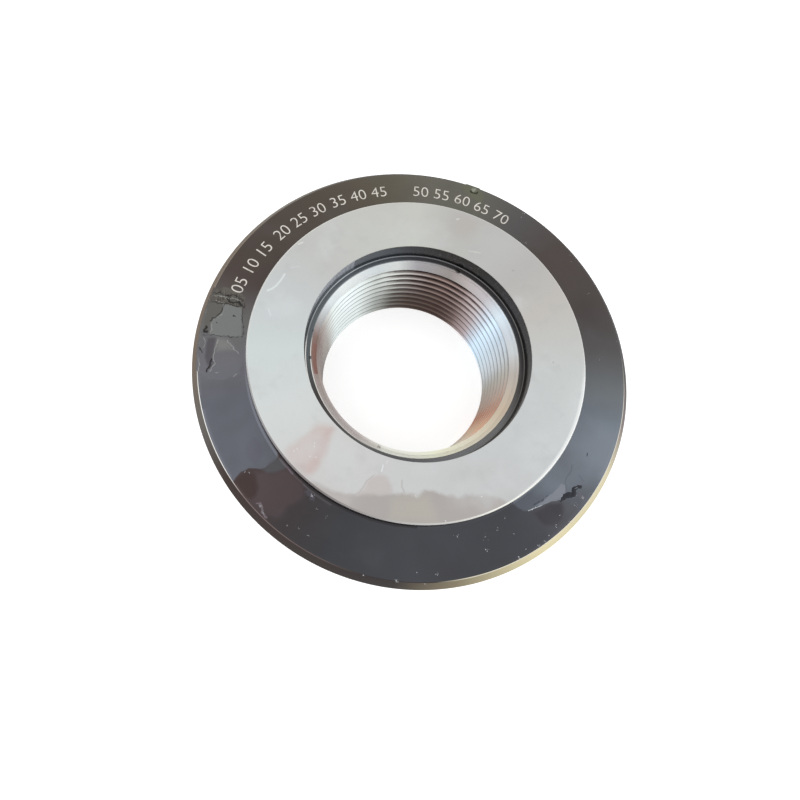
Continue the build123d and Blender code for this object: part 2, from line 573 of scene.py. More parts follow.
faceSmudges = [
    # oil film whose blue-grey colour is largely a painted reflection of the room
    film("blueFilmSheen", (101, 104, 113), [(192, 37), (206, 37.4), (214.1, 38.2), (216.1, 39.2), (215.9, 40.6),
        (216.1, 42), (215.6, 42.9), (214.5, 43.8), (213.3, 45.2), (213.4, 45.7), (213.1, 46.7),
        (213.5, 48.2), (214.2, 49.8), (205, 51), (192, 51)], soft=0.14, ragged=0.35, size=500, strength=1),
    film("violetFilm", (97, 98, 110), [(206.5, 40.5), (212.5, 40.8), (213.6, 43.6), (211, 44.3),
        (207.5, 43.4)], size=250, strength=0.8),
    film("brownFilm", (82, 70, 72), [(214.9, 48.9), (214.3, 46.7), (214.6, 45.3), (215.5, 44.2),
        (216.9, 42.8), (218.5, 41.5), (219.6, 39.6), (222.6, 38.8), (226.7, 38.8), (228.7, 39.6),
        (229.5, 41), (229, 42.8), (228.1, 44.2), (228.1, 46), (228.1, 47.8), (225.6, 47.7), (225.6, 49)],
        soft=0.9, size=250, strength=0.95),
    film("mixedFilm", (86, 88, 92), [(215.6, 43), (216.1, 42), (215.9, 40.6), (216.1, 39), (217.5, 38),
        (220.2, 39), (219.2, 41.2), (217.5, 42.7)], strength=0.85),
    film("redFilm", (66, 52, 50), [(214.6, 49.2), (214, 48.2), (213.7, 46.7), (214, 45.6), (215.2, 44.6),
        (216.9, 45), (219.2, 45.8), (220.4, 47.3), (220.3, 49)], soft=0.6, ragged=0.4),
    film("leftTurn", (92, 98, 107), [(334, 36), (334, 51), (322.5, 50.5), (320.6, 49.3), (319.6, 48.1),
        (318.6, 47.5), (317.5, 46.4), (316.5, 46), (315.5, 45.8), (314, 46.2), (313.1, 45.6), (312, 44.7),
        (311, 44.6), (309.3, 44.3), (307.9, 43.6), (305.6, 42.9), (304.3, 42.7), (302.1, 42.1),
        (300.2, 41.8), (298.8, 41.2), (298, 40.2), (297.4, 39.2), (296.5, 36)], soft=0.3, size=600),
    # oil film whose blue-grey colour is largely a painted reflection of the room
    film("rightFilmSheen", (111, 118, 127), [(336, 36), (336, 52), (322.5, 51), (321, 49.3), (319.6, 47.3),
        (317.5, 45.6), (315.5, 44.9), (312.8, 44.3), (310.6, 43.6), (309, 42.5), (308, 41.2), (306.5, 40),
        (304.5, 36)], soft=2.2, ragged=0.8, size=250, strength=1),
    film("smearTongue", (125, 130, 139), [(302, 42.1), (303.5, 42.05), (305.3, 42.3), (307.2, 42.2),
        (309.1, 42.5), (311.5, 42.6), (313.3, 42.6), (313.7, 43.4), (312.8, 44.2), (311.7, 44.5),
        (310.2, 44.5), (308.8, 44.1), (307.3, 43.3), (305.8, 43), (304, 42.7)], soft=0.16, ragged=0.25,
        size=600),
    film("darkWedge", (61, 59, 63), [(301, 42.9), (304.3, 43.4), (306.2, 43.6), (308.5, 44.7),
        (309.5, 45.3), (308.6, 46.2), (306.9, 47.2), (305.3, 47.6), (303.2, 47.4), (301.4, 46),
        (301, 44.2)], soft=0.6, ragged=0.4),
    scratch((88, 95, 103), [(312.3, 44.6), (313.6, 43.9), (314.4, 43.1), (315.9, 42.7), (318.4, 42.7),
        (320.2, 42.1)], width=0.05, soft=0.14, size=400, strength=0.7),
    scratch((92, 98, 106), [(318.8, 44.6), (318.5, 45.5), (318.1, 46)], width=0.05, size=400, strength=0.7),
    scratch((62, 69, 77), [(302.6, 41.65), (303.8, 41.8), (304.6, 41.9)], width=0.12, soft=0.1,
        ragged=0.25),
    scratch((66, 73, 81), [(305.3, 42.1), (305.9, 42.1)], width=0.2, soft=0.1, ragged=0.25),
    scratch((72, 79, 87), [(307.2, 42.1), (307.8, 42.2)], width=0.1, soft=0.1, ragged=0.25),
    scratch((60, 66, 74), [(325.9, 43.9), (325.1, 44.1)], width=0.12, soft=0.1, ragged=0.2, strength=1),
    # painted reflections in the round at the foot of the boss
    scratch((104, 94, 102), [(216.9, 38.4), (222.6, 38.7)], width=0.3, soft=0.3, size=400, strength=0.8),
    scratch((98, 98, 104), [(227.6, 39), (232.8, 39.1), (237.7, 39)], width=0.06, soft=0.3, size=400,
        strength=0.4),
    # painted highlights along the edge of the smear
    scratch((184, 190, 198), [(300.2, 41.95), (301.6, 42.15), (303.2, 42.5), (304.4, 42.75)], width=0.05,
        soft=0.08),
    scratch((146, 152, 160), [(304.4, 42.75), (305.8, 43.05), (307.3, 43.35), (308.8, 44.15),
        (310.2, 44.55)], width=0.04, soft=0.1, strength=0.6),
    scratch((142, 132, 138), [(221.9, 48), (222.3, 47.5), (223.5, 47.9), (224.1, 48.5), (226, 48.7)],
        width=0.14, ragged=0.6, size=1200, strength=0.6),
    scratch((104, 104, 118), [(229.9, 39.6), (231.2, 39.5), (232.2, 39.9)], width=0.3, soft=0.6, ragged=1.2,
        size=1200, strength=0.4),
    scratch((100, 96, 106), [(314.7, 46.8), (314.2, 48.1)], width=0.3, soft=0.6, ragged=0.6, size=500,
        strength=0.5),
    cloud((58, 52, 54), 50, (0.48, 0.72), strength=0.28),
    cloud((110, 112, 118), 110, (0.52, 0.74), strength=0.07),
    scratch((46, 42, 44), [(angle, 38.5) for angle in range(216, 266, 7)],  # painted shade in the foot of the boss
        width=0.3, soft=0.25, ragged=0.2, size=300, strength=0.75),
]

plainSteel = {
    "waver": 1, "waverSize": 200, "lines": 0.1, "grit": 0.05, "mottle": 0.1, "rough": 0.2, "bump": 0.2,
    "metal": 1.0, "oil": 0.0, "grazing": (255, 255, 255), "patches": [],
    "roughGrain": 0.5, "bumpDepth": 0.02 * mm, "oilRough": 0.12,
}

finishes = {
    # the tones round the boss are painted reflections in the ground steel
    "groundBoss": dict(
        plainSteel, waver=4, waverSize=60, lines=0.03, grit=0.03, mottle=0.05, rough=0.14, bump=0.06,
        tonesAndReflections={-180: (207, 215, 215), -156: (212, 217, 216), -132: (206, 206, 205), -60: (200, 203, 204),
            -12: (200, 204, 203), 14: (195, 192, 187), 36: (186, 184, 182), 50: (190, 190, 189),
            72: (188, 188, 184), 86: (201, 203, 197), 132: (195, 196, 193), 158: (201, 205, 206)},
        patches=bossSmudges,
    ),
    # painted reflections over the black oxide: brown on the far side, blue-grey to left and right, near black
    # in front
    "blackedFace": dict(
        plainSteel, waver=3, waverSize=120, lines=0.05, grit=0.06, mottle=0.12, bump=0.08, metal=0.85,
        oil=0.15,
        tonesAndReflections={-180: (107, 107, 112), -168: (103, 105, 113), -151: (101, 104, 113), -147: (72, 60, 60),
            -130: (62, 57, 58), -118: (60, 61, 65), -96: (68, 70, 75), -66: (66, 68, 73), -54: (74, 74, 80),
            -44: (90, 95, 102), -36: (102, 110, 118), -24: (103, 111, 120), -12: (97, 101, 104),
            0: (83, 81, 82), 14: (76, 69, 67), 36: (76, 68, 65), 50: (84, 82, 82), 66: (98, 97, 88),
            80: (100, 98, 89), 96: (92, 86, 74), 115: (82, 74, 66), 140: (75, 66, 60), 154: (76, 66, 62),
            160: (88, 82, 80), 168: (102, 102, 101)},
        patches=faceSmudges,
    ),
    # painted reflections round the rim bevel, with a pale painted highlight from 298 to 324 degrees
    "rimSteel": dict(
        plainSteel, waverSize=100, mottle=0.15, rough=0.6, bump=0.15, metal=0.4, grazing=(60, 60, 60),
        tonesAndReflections={-180: (122, 110, 98), -162: (108, 104, 100), -148: (70, 60, 57), -100: (68, 64, 63),
            -86: (138, 128, 108), -62: (236, 226, 186), -36: (230, 221, 190), -22: (148, 138, 136),
            -8: (96, 93, 95), 6: (92, 90, 91), 18: (80, 78, 78), 40: (78, 75, 74), 72: (86, 84, 81),
            92: (94, 92, 88), 108: (122, 119, 114), 126: (142, 136, 128), 146: (130, 118, 106),
            160: (128, 116, 104)},
    ),
    # painted highlights on the small round at the top edge of the rim, dark between them
    "rimEdgeHighlight": dict(
        plainSteel, waverSize=100, bump=0.1, grazing=(140, 140, 140),
        tonesAndReflections={-180: (190, 180, 170), -172: (226, 226, 222), -150: (206, 204, 200), -142: (112, 98, 96),
            -118: (104, 92, 90), -108: (66, 60, 60), -90: (66, 62, 62), -82: (226, 220, 200),
            -16: (210, 204, 194), 0: (104, 100, 100), 72: (100, 98, 94), 130: (124, 118, 110),
            160: (150, 140, 130)},
    ),
    # painted highlights on the round at the boss edge, near white from 290 to 345 degrees
    "bossEdge": dict(
        plainSteel, waverSize=100, lines=0.03, grit=0.04, mottle=0.04, rough=0.3, bump=0.05, metal=0.4,
        tonesAndReflections={-180: (214, 216, 214), -170: (170, 170, 170), -130: (120, 112, 112), -112: (160, 156, 154),
            -96: (196, 194, 192), -84: (210, 208, 204), -70: (246, 246, 238), -15: (250, 251, 252),
            0: (214, 214, 212), 60: (214, 212, 206), 120: (224, 222, 216)},
    ),
    "groundWall": dict(
        plainSteel, waver=3, waverSize=60, lines=0.22, grit=0.06, mottle=0.12, rough=0.3, bump=0.3,
        tonesAndReflections={-180: (172, 172, 168), 0: (164, 164, 162)},
    ),
    "groundUnderside": dict(
        plainSteel, waver=3, waverSize=60, lines=0.12, mottle=0.12, rough=0.28,
        tonesAndReflections={-180: (186, 187, 185), 0: (180, 181, 180)},
    ),
    # painted reflections round the counterbore wall
    "blackedWall": dict(
        plainSteel, lines=0.25, grit=0.1, mottle=0.3, rough=0.24, bump=0.3, metal=0.8, oil=0.2,
        tonesAndReflections={-180: (88, 94, 97), -120: (76, 76, 78), -20: (64, 62, 61), 0: (52, 51, 50), 24: (50, 49, 52),
            48: (40, 38, 37), 72: (46, 43, 42), 90: (58, 60, 64), 104: (78, 84, 90), 122: (88, 94, 101),
            144: (122, 128, 133), 156: (114, 120, 126), 168: (90, 96, 100)},
        patches=[
            cloud((110, 114, 124), 1400, (0.58, 0.68), strength=0.2, detail=5),
            # a painted highlight: a thin pale streak at the top of the wall
            scratch((170, 174, 184), [(122, 25.6), (130, 25.65), (138, 25.6), (146, 25.65), (153, 25.6)],
                width=0.05, soft=0.12, ragged=0.5, strength=0.5),
        ],
    ),
    # painted reflections round the counterbore floor
    "blackedFloor": dict(
        plainSteel, lines=0.25, grit=0.1, mottle=0.3, rough=0.28, bump=0.3, metal=0.7, oil=0.4,
        tonesAndReflections={-180: (84, 90, 92), -158: (54, 50, 48), -145: (68, 64, 62), -120: (84, 84, 85),
            -100: (84, 84, 86), -86: (98, 98, 100), -72: (106, 107, 109), -45: (104, 103, 103),
            -20: (64, 60, 58), 0: (60, 60, 62), 24: (72, 77, 85), 40: (72, 70, 72), 60: (70, 66, 65),
            84: (74, 74, 78), 100: (92, 99, 106), 120: (96, 104, 111), 150: (90, 96, 100)},
    ),
    # painted highlights on the corner round of the counterbore and the edge of the lead-in, pale on the left
    "boreCornerHighlight": dict(
        plainSteel, grit=0.1, mottle=0.4,
        tonesAndReflections={-180: (226, 226, 222), -130: (200, 196, 190), -116: (110, 110, 110), -20: (90, 88, 86),
            40: (100, 98, 96), 84: (116, 117, 122), 130: (160, 166, 170), 168: (130, 134, 136),
            174: (226, 226, 222)},
    ),
    # painted reflections and highlights on the lead-in chamfer, near white in broad stretches
    "leadInSteel": dict(
        plainSteel, rough=0.45, metal=0.35,
        tonesAndReflections={-180: (150, 122, 111), -168: (186, 172, 166), -150: (198, 189, 184), -128: (212, 203, 200),
            -116: (236, 233, 224), -112: (255, 255, 246), -98: (255, 255, 242), -84: (254, 255, 232),
            -60: (236, 229, 207), -36: (216, 198, 176), -12: (198, 191, 184), 0: (216, 221, 223),
            12: (214, 222, 230), 24: (226, 241, 252), 38: (200, 196, 200), 50: (196, 188, 188),
            64: (162, 155, 152), 84: (176, 174, 178), 96: (230, 235, 233), 110: (228, 236, 238),
            132: (250, 255, 255), 146: (242, 251, 254), 158: (196, 196, 196), 168: (154, 126, 118)},
        patches=[
            # a painted reflection: a brown bar with hard ends
            dict(tone=(154, 114, 104), strength=1, window=dict(
                angle=181, spread=9, inner=22.4, outer=23.9, soft=0.15, ragged=0.25, size=500)),
            dict(tone=(150, 148, 138), strength=0.7, window=dict(
                angle=245, spread=0.8, inner=22.9, outer=23.6, soft=0.25, ragged=0.5, size=900)),
        ],
    ),
    # painted reflections round the thread flanks: a pale blue band on the right, dark brown on the far side
    "threadFlank": dict(
        plainSteel, lines=0.12, mottle=0.12, rough=0.24,
        tonesAndReflections={-180: (150, 138, 134), -165: (168, 156, 150), -125: (190, 182, 180), -96: (196, 196, 186),
            -70: (220, 218, 204), -50: (212, 166, 132), -34: (184, 144, 124), -10: (180, 176, 168),
            0: (190, 196, 200), 12: (172, 184, 196), 24: (194, 214, 230), 36: (182, 178, 182),
            50: (166, 150, 147), 62: (160, 138, 132), 74: (160, 142, 136), 84: (188, 180, 177),
            96: (226, 228, 224), 110: (196, 203, 199), 122: (212, 220, 220), 132: (220, 228, 230),
            146: (210, 218, 216), 158: (160, 152, 148), 168: (138, 122, 116)},
        # painted shade lower down the bore, with painted reflections round the ring
        lowShadeTones={-180: (140, 130, 126), -60: (200, 196, 180), -42: (198, 164, 136), -34: (176, 126, 102),
            -26: (166, 142, 128), -10: (168, 164, 156), 0: (182, 188, 192), 12: (176, 190, 200),
            24: (184, 204, 220), 36: (156, 144, 146), 48: (112, 96, 92), 62: (92, 76, 70), 84: (98, 86, 78),
            96: (122, 120, 114), 108: (158, 162, 158), 122: (204, 212, 211), 144: (206, 214, 214),
            156: (152, 146, 140)},
        # painted shade and grime deep in the grooves, with painted reflections round the ring
        deepShadeAndGrimeTones={-180: (110, 98, 94), -60: (130, 110, 96), -34: (118, 90, 78), -6: (130, 130, 128),
            22: (176, 192, 204), 40: (104, 86, 84), 60: (54, 40, 38), 84: (52, 40, 38),
            100: (110, 106, 102), 118: (182, 186, 182), 140: (206, 212, 210), 160: (150, 146, 144)},
        lowFrom=(18, 4),
        deepFrom=(0.4, 0.9),
        patches=[
            # painted dark reflection and shade in the grooves on the far side, and a painted orange
            # reflection at 327 degrees
            dict(tone=(58, 44, 42), strength=0.75, groove=(0.12, 0.5), window=dict(
                angle=74, spread=25, inner=15, outer=30, soft=4, ragged=0.6, size=300)),
            dict(tone=(166, 112, 90), strength=0.55, groove=(0.1, 0.5), window=dict(
                angle=327, spread=7, inner=15, outer=30, soft=2, ragged=0.6, size=300)),
        ],
    ),
    # painted reflections on the crests, dark on the far side where they mirror dark surroundings
    "threadCrest": dict(
        plainSteel, lines=0.2, mottle=0.2, rough=0.3,
        tonesAndReflections={-180: (104, 92, 88), -60: (140, 120, 104), -34: (114, 96, 88), 0: (124, 126, 128),
            22: (150, 164, 176), 40: (100, 84, 82), 60: (54, 42, 40), 92: (44, 38, 38),
            110: (108, 110, 108), 130: (156, 162, 160), 160: (136, 134, 132)},
    ),
}


def inMm(points):  # (degrees, radius in mm) as flat points in mm
    return [polar(*point).xy for point in points]


def borderOf(outline):  # the outline, closed
    return inMm(outline + outline[:1])


def gapToLine(spot, line):  # from a spot to the nearest place on a line of points
    nearest = math.inf
    for first, second in zip(line, line[1:]):
        along = second - first
        share = min(1, max(0, (spot - first).dot(along) / along.length_squared))
        nearest = min(nearest, (spot - first - along * share).length)
    return nearest


def insideBy(spot, border):  # mm inside a border, and minus the mm outside it
    inside = False
    for first, second in zip(border, border[1:]):
        if (first.y > spot.y) != (second.y > spot.y):
            crossing = first.x + (spot.y - first.y) / (second.y - first.y) * (second.x - first.x)
            inside ^= spot.x < crossing
    return gapToLine(spot, border) * (1 if inside else -1)


charting = {
    "sharpUnder": 0.35,  # mm of softness, below which the facets are made smaller
    "refinedWithin": 0.9,  # mm from a sharp border
    "cuts": 3,
    "margin": 3,  # mm round a film
    "farOutside": -3.0,  # what stands beyond the margin
    "level": 0.4 * mm,
}


def refineNear(piece, height, patches):  # smaller facets where a film has a sharp edge
    borders = [
        borderOf(patch["outline"]) for patch in patches
        if "outline" in patch and patch["soft"] < charting["sharpUnder"]
    ]

    def wanted(face):
        centre = face.calc_center_median()
        return abs(centre.z - height) < 0.01 * mm and face.normal.z > 0.9 and any(
            gapToLine(centre.xy / mm, border) < charting["refinedWithin"] for border in borders)

    openPiece(piece)
    pick("FACE", wanted)
    bpy.ops.mesh.subdivide(number_cuts=charting["cuts"])
    closePiece()


def chartFilms(piece, height, patches):  # writes on each corner of a flat face how far inside a film it lies
    margin = Vector((charting["margin"], charting["margin"]))
    for patch in patches:
        if "outline" not in patch:
            continue
        border = borderOf(patch["outline"])
        lowest = Vector([min(side) for side in zip(*border)]) - margin
        highest = Vector([max(side) for side in zip(*border)]) + margin
        chart = piece.data.attributes.new(patch["name"], "FLOAT", "POINT")
        for corner in piece.data.vertices:
            spot = corner.co.xy / mm
            near = lowest.x < spot.x < highest.x and lowest.y < spot.y < highest.y
            charted = near and abs(corner.co.z - height) < charting["level"]
            chart.data[corner.index].value = insideBy(spot, border) if charted else charting["farOutside"]


finishEdges = {  # between one finish and the next
    "soft": 1.5 * ring["edgeSoftness"],
    "corner": 0.9 * ring["counterboreCorner"],
    "nearSide": 0.75,  # share of the radius, beyond which the lead-in's finish runs further down
    "leadInNear": 0.9 * mm,
    "leadIn": 0.1 * mm,
    "crestFacing": 0.97,
    "crest": 0.1 * mm,
}


def finishOf(centre, normal):  # which finish a facet of the ring has, by its place and the way it faces
    radius, height = centre.xy.length, centre.z
    top, soft, corner = ring["topHeight"], finishEdges["soft"], finishEdges["corner"]
    if height < 0.1 * mm and normal.z < -0.9:
        return "groundUnderside"
    if radius < ring["leadInRadius"] - soft:
        nearSide = centre.y < -finishEdges["nearSide"] * radius
        if height > leadInEnd - finishEdges["leadInNear" if nearSide else "leadIn"]:
            return "leadInSteel"
        outward = (normal.x * centre.x + normal.y * centre.y) / radius
        crest = outward < -finishEdges["crestFacing"] and radius < crestRadius(height) + finishEdges["crest"]
        return "threadCrest" if crest else "threadFlank"
    if radius < ring["counterboreRadius"] + soft and height < top - soft:
        inCorner = radius > ring["counterboreRadius"] - corner and height < floorHeight + corner
        if inCorner or radius < ring["leadInRadius"] + 0.5 * soft:
            return "boreCornerHighlight"
        return "blackedFloor" if normal.z > 0.7 else "blackedWall"
    if radius < ring["bossRadius"] + soft and height > top - ring["bossEdge"] - soft:
        return "groundBoss" if radius < ring["bossRadius"] - ring["bossEdge"] - soft else "bossEdge"
    if height > markingHeight - 2 * soft and abs(radius - bevelRadius) < soft:
        return "rimEdgeHighlight"
    if radius > bevelRadius and height > markingHeight - ring["rimBevel"] - soft:
        return "rimSteel"
    return "blackedFace" if height > markingHeight - soft else "groundWall"


def dressRing(piece):
    for height, patches in ((ring["topHeight"], bossSmudges), (markingHeight, faceSmudges)):
        refineNear(piece, height, patches)
        chartFilms(piece, height, patches)
    for name, look in finishes.items():
        piece.data.materials.append(makeFinish(name, look))
    names = list(finishes)
    for facet in piece.data.polygons:
        facet.material_index = names.index(finishOf(facet.center, facet.normal))
    onlyPiece(piece)
    bpy.ops.object.shade_smooth_by_angle(angle=math.radians(ring["smoothUnder"]))
    for facet in piece.data.polygons:  # the underside stays flat right up to the thread
        if facet.normal.z < -0.99:
            facet.use_smooth = False


dressRing(gaugeRing)
print("ring dressed")

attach(gaugeRing, "root")
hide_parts("gauge_ring")


scaleNumbers = {
    "capHeight": 2.9 * mm,
    "capShare": 0.7,  # of the size of the type
    "radius": 42.75 * mm,  # of the foot of the figures
    "sink": 0.01 * mm,
    "thickness": 0.035 * mm,
    "thinning": 0.05 * mm,
    "curveSteps": 4,
    "step": 5,  # from one number to the next
    "spacing": 7.1,  # degrees between numbers in a group
    "groups": [(156.3, 3, 0.0), (133.8, 3, 0.0), (112.2, 3, 0.0), (84.0, 3, 0.0), (62.8, 2, -0.2)],
    "tone": (226, 221, 212), "noise": 700, "detail": 3, "between": (0.5, 0.75), "fade": 0.62,
    "rough": 0.6, "gloss": 0.2,
}


def strikeNumbers():  # plain numbers in steps of five, tops outward, with a bare place between the groups
    look = scaleNumbers
    made = []
    for firstAngle, count, shift in look["groups"]:
        for place in range(count):
            angle = firstAngle - place * look["spacing"]
            figure = addPiece(bpy.ops.object.text_add)
            figure.data.body = f"{look['step'] * (len(made) + 1):02d}"
            figure.data.align_x = "CENTER"
            figure.data.size = look["capHeight"] / look["capShare"]
            figure.data.extrude = look["thickness"] / 2
            figure.data.offset = -look["thinning"]
            figure.data.resolution_u = look["curveSteps"]
            bpy.ops.object.convert(target="MESH")
            heights = [v.co.y for v in figure.data.vertices]
            ratio = look["capHeight"] / (max(heights) - min(heights))
            radius = look["radius"] + shift * mm - min(heights) * ratio
            figure.scale = (ratio, ratio, 1)
            figure.location = polar(angle, radius, markingHeight - look["sink"] + look["thickness"] / 2)
            figure.rotation_euler = (0, 0, math.radians(angle - 90))
            applyPlace(figure)
            made.append(figure)
    return joinPieces(made, "scaleNumbers")


def makePale(name, look):  # a pale tone, darker and glossier in spots
    material, tree, shader = newMaterial(name)
    wave = addNoise(tree, objectPlace(tree), look["noise"], look["detail"])["Fac"]
    mask = addRange(tree, wave, *look["between"])
    tone = toneOf(*look["tone"])
    faded = [c * look["fade"] for c in tone[:3]] + [1]
    feed(tree, shader["Base Color"], addBlend(tree, mask, tone, faded))
    feed(tree, shader["Roughness"], addMath(tree, "MULTIPLY_ADD", mask, -look["gloss"], look["rough"]))
    return material


# The skins are dried rust oil on the marking face. A line on one is a crease, painted dark as shade, or a
# lifted edge with a painted highlight. It has a width and a lift in mm, and its points are (degrees, radius
# in mm).
skins = {
    "wrinkledFilm": {
        "seed": 1, "angles": (157.0, 188.0), "radii": (38.9, 49.4), "step": 0.1,
        "outline": [(160.4, 49.3), (158.2, 46.5), (158.4, 43.4), (160, 41.6), (164, 40.5), (173.2, 39.5),
            (181, 39.5), (185.8, 40.2), (187, 43.5), (186.2, 46.8), (183, 49.2), (172, 49.2)],
        "thickness": 0.012, "fade": 0.9, "wrinkle": 0.03, "wrinkleSize": 0.9, "ragged": 0.35,
        "crumple": (158.6, 164.2),  # the band that is folded small
        "lines": [
            ("crease", 0.11, 0.08, [(161.2, 48.9), (160.7, 47.4), (160.9, 45.8), (160, 44.4), (160.2, 43.2),
                (160.9, 42.1)]),
            ("shine", 0.1, 0.12, [(161.9, 48.7), (161.5, 47.1), (161.5, 45.2), (161.1, 43.7),
                (161.3, 42.6)]),
            ("crease", 0.2, 0.06, [(161.6, 45.4), (162.4, 44.6), (162.6, 43.7), (161.9, 42.9),
                (162.6, 41.7)]),
            ("crease", 0.1, 0.06, [(164, 48.7), (163.7, 47.5), (163.9, 46.3), (163, 45.1), (163.3, 43.6),
                (163, 41.9)]),
            ("shine", 0.09, 0.1, [(163, 47.9), (163.3, 46.7), (163, 46)]),
            ("shine", 0.07, 0.06, [(165.2, 45.3), (167.2, 45.5), (168.8, 46.7), (169.9, 47.2),
                (172.9, 46.85)]),
            ("crease", 0.11, 0.04, [(163.6, 45.6), (164.7, 45.7), (166.9, 45.8), (168.4, 47),
                (169.4, 47.6)]),
            ("crease", 0.3, 0.02, [(171.2, 48.1), (173, 48.4), (172.6, 47.8)]),
            ("crease", 0.06, 0.015, [(162.8, 41.4), (166, 40.9), (168.9, 40.1), (172.6, 39.8)]),
            ("crease", 0.09, 0.02, [(166.4, 42.9), (166.8, 42.2)]),
            ("crease", 0.12, 0.02, [(169.3, 46.3), (169.8, 46)]),
            ("crease", 0.07, 0.02, [(173.7, 48.6), (173.5, 46.6), (173.5, 43.6), (173.5, 41.3),
                (173.1, 39.8)]),
            ("shine", 0.08, 0.06, [(174.3, 48.3), (175.3, 47.7), (176.6, 47.9), (177.6, 48.4)]),
            ("crease", 0.14, 0.04, [(177.4, 48.9), (178.6, 48.3)]),
            ("shine", 0.09, 0.09, [(174.4, 45.1), (176.7, 45.3), (180.2, 45.7), (182.2, 45.4),
                (184.1, 46.6)]),
            ("crease", 0.22, 0, [(180.5, 46.1), (182.5, 46.5), (184, 47.1)]),
            ("shine", 0.08, 0.06, [(174.8, 42.9), (177.1, 41.4), (178.9, 40.2)]),
            ("shine", 0.07, 0.05, [(186.4, 41.5), (185.6, 40.8)]),
            ("shine", 0.08, 0.03, [(184.4, 45.3), (184.6, 44.6)]),
            ("shine", 0.1, 0.04, [(180.2, 48.9), (183.6, 48.7)]),
        ],
        "tone": None, "creaseTone": (42, 40, 40), "shineTone": (144, 146, 143),
        "patches": [
            film("topFold", (96, 92, 86), [(158.6, 49), (158.4, 42), (163.6, 41.2), (163.8, 49)], soft=0.4,
                ragged=0.8, size=500, strength=1),
            film("darkFold", (97, 96, 92), [(163.8, 49), (163.9, 46.2), (165.4, 45.5), (167.2, 45.7),
                (168.6, 47), (170.2, 47.6), (172.9, 47.2), (172.9, 48.9)], soft=0.4, strength=1),
            film("paleFold", (118, 121, 119), [(163.6, 46), (163.4, 41.6), (173.3, 40), (173.5, 46.8),
                (170.4, 47.3), (168.8, 46.8), (167.2, 45.6), (165.4, 45.4)], soft=0.18, ragged=0.3,
                size=500, strength=1),
            film("tentFold", (124, 124, 123), [(173.9, 45.3), (176.7, 45.4), (178, 44.9), (177.6, 43),
                (177.5, 41.5), (174.6, 42.9)], soft=1, ragged=0.3, strength=1),
            film("shadeFold", (84, 80, 85), [(174.2, 47.6), (174, 45.4), (176.7, 45.6), (180.2, 46),
                (182.4, 45.8), (183.4, 46.6), (180, 47.5)], soft=0.35, ragged=0.4, strength=0.85),
            film("cornerFold", (106, 106, 106), [(173.8, 42.4), (176.6, 41.2), (178.2, 40), (174, 39.7)],
                ragged=0.4, size=200, strength=0.8),
        ],
    },
    "oilHook": {
        "seed": 2, "angles": (308.0, 318.0), "radii": (43.6, 47.2), "step": 0.07,
        "outline": [(309.2, 44.65), (310.3, 44.4), (311.2, 44.3), (312, 44.35), (312.6, 44.8),
            (313.2, 45.2), (313.3, 45.5), (313.9, 45.2), (314.5, 44.95), (315.1, 45), (315.8, 45.4),
            (316.5, 45.8), (316.9, 46.2), (316.2, 46.35), (315.6, 46), (314.9, 45.8), (314.3, 46.1),
            (313.6, 46.5), (312.9, 46.35), (312.4, 45.9), (311.6, 45.45), (310.6, 45.15), (309.6, 44.95)],
        "thickness": 0.06, "fade": 0.3, "wrinkle": 0.05, "wrinkleSize": 0.5, "ragged": 0.16,
        "lines": [
            ("shine", 0.06, 0.02, [(309.4, 44.55), (310.6, 44.3), (311.6, 44.2), (312.4, 44.5)]),
            ("shine", 0.05, 0.02, [(312.6, 46.1), (313.2, 46.6), (314.1, 46.45), (314.8, 45.95),
                (315.6, 46.15)]),
            ("shine", 0.06, 0.04, [(315, 45.35), (315.8, 45.7)]),
        ],
        "tone": (44, 46, 52), "creaseTone": (40, 42, 48), "shineTone": (150, 156, 166),
        "patches": [],
    },
    "oilDrop": {
        "seed": 1, "angles": (62.0, 73.0), "radii": (44.2, 49.5), "step": 0.1,
        "outline": [(71.4, 48.5), (69.8, 49.3), (66, 49.3), (63.6, 47.2), (63.4, 45), (66.8, 45.9),
            (69.4, 46.6)],
        "thickness": 0.02, "fade": 0.6, "wrinkle": 0.0, "wrinkleSize": 1.0, "ragged": 0.3,
        "lines": [
            ("shine", 0.55, 0.3, [(67.4, 48.1), (67.2, 48.3)]),
            ("crease", 0.2, 0.02, [(68.2, 47.9), (67.8, 47.5), (67, 47.35), (66.2, 47.6), (65.9, 48.1)]),
        ],
        "tone": (100, 100, 86), "creaseTone": (48, 50, 34), "shineTone": (140, 142, 128),
        "patches": [],
    },
}
creaseNoise = {  # of the crumpled band
    "stretch": (2.6, 0.8),  # along the arc and across it
    "fold": 0.14,
    "shineScale": 1.3,
    "shineOver": 0.25,
    "shine": 1.6,
    "liftScale": 1.7,
    "lift": 0.05,
}
sheet = {
    "sunk": -0.012,  # mm, where a skin has ended
    "kept": -0.011,  # mm, the lowest that a facet of it may lie
    "thickness": 0.03 * mm,
    "raggedScale": 1.3,
    "fineScale": 4,
    "fineRagged": 0.1,  # mm
    "unevenScale": 3,
    "uneven": 0.5,  # share of the lift of a line
    "marked": (0.15, 0.8),  # where a line starts to show, and where it shows in full
}


def capped(value):  # kept between 0 and 1
    return min(1, max(0, value))


